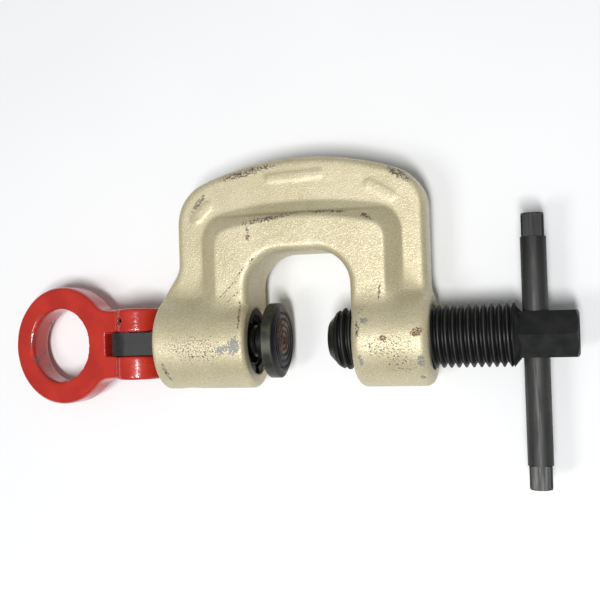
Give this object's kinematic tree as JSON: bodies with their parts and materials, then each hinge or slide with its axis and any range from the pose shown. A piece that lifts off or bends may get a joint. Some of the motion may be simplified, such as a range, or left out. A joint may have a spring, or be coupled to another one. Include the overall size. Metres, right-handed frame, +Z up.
{
  "type": "screw cam clamp",
  "caption": "Lifting clamp: a forged C frame with a clamping screw and sliding handle bar facing a cam-driven swivel pad and a pivoting lifting eye.",
  "frame": {"origin": "centre of the swivel pad's gripping face, on the clamping screw's axis, with the cam at rest", "axes": "+X along the clamping axis from the pad towards the screw's head, +Y from the bosses towards the back of the C, +Z up with the clamp lying on its side"},
  "size_m": [0.2987, 0.1609, 0.047],
  "materials": {
    "gold_paint": "satin champagne gold paint on a forging",
    "red_paint": "glossy red paint on a forging",
    "black_oxide_steel": "black oxide, oiled",
    "grey_steel": "dark grey heat-treated scale",
    "spring_steel": "dark spring steel",
    "pad_steel": "hardened steel, rust-brown on its ridges"
  },
  "bodies": {
    "frame": {"frame_body": "gold_paint", "cam_pin": "black_oxide_steel", "cam_pin_roll_pin": "spring_steel", "bore_circlip": "spring_steel", "spring_seat_washer": "spring_steel", "return_spring": "spring_steel"},
    "cam_lever": {"cam_lever": "grey_steel"},
    "lifting_eye": {"lifting_eye": "red_paint", "eye_pin": "black_oxide_steel", "eye_roll_pin": "spring_steel"},
    "thrust_plunger": {"thrust_plunger": "black_oxide_steel"},
    "pad_ring": {"pad_retaining_ring": "spring_steel"},
    "swivel_pad": {"swivel_pad": "pad_steel"},
    "screw_tip": {"screw_tip": "pad_steel", "tip_retaining_ring": "spring_steel"},
    "clamp_screw": {"clamp_screw": "black_oxide_steel"},
    "handle_bar": {"handle_bar": "black_oxide_steel"}
  },
  "joints": [
    {"name": "cam_swing", "type": "hinge", "parent": "frame", "child": "cam_lever", "pos_m": [-0.049, 0, 0], "axis": [0, 1, 0], "range_deg": [0, 25]},
    {"name": "eye_swing", "type": "hinge", "parent": "cam_lever", "child": "lifting_eye", "pos_m": [-0.079, 0, 0], "axis": [0, 1, 0], "range_deg": [-68, 92]},
    {"name": "plunger_stroke", "type": "slide", "parent": "frame", "child": "thrust_plunger", "axis": [1, 0, 0], "range_m": [0, 0.004], "deforming": ["return_spring"]},
    {"name": "pad_tilt", "type": "hinge", "parent": "thrust_plunger", "child": "pad_ring", "pos_m": [-0.008, 0, 0], "axis": [0, 1, 0], "range_deg": [-4, 4]},
    {"name": "pad_spin", "type": "hinge", "parent": "pad_ring", "child": "swivel_pad", "pos_m": [-0.008, 0, 0], "axis": [1, 0, 0], "continuous": true},
    {"name": "screw_travel", "type": "slide", "parent": "frame", "child": "screw_tip", "axis": [-1, 0, 0], "range_m": [-0.0141, 0.0196]},
    {"name": "screw_turn", "type": "hinge", "parent": "screw_tip", "child": "clamp_screw", "pos_m": [0.1, 0, 0], "axis": [-1, 0, 0], "range_deg": [-1440, 2005]},
    {"name": "handle_slide", "type": "slide", "parent": "clamp_screw", "child": "handle_bar", "axis": [0, 1, 0], "range_m": [-0.0339, 0.0494]}
  ],
  "couplings": [
    {"joint": "plunger_stroke", "follows": "cam_swing", "m_per_rad": 0.0091673},
    {"joint": "screw_travel", "follows": "screw_turn", "m_per_rad": 0.00055704}
  ]
}
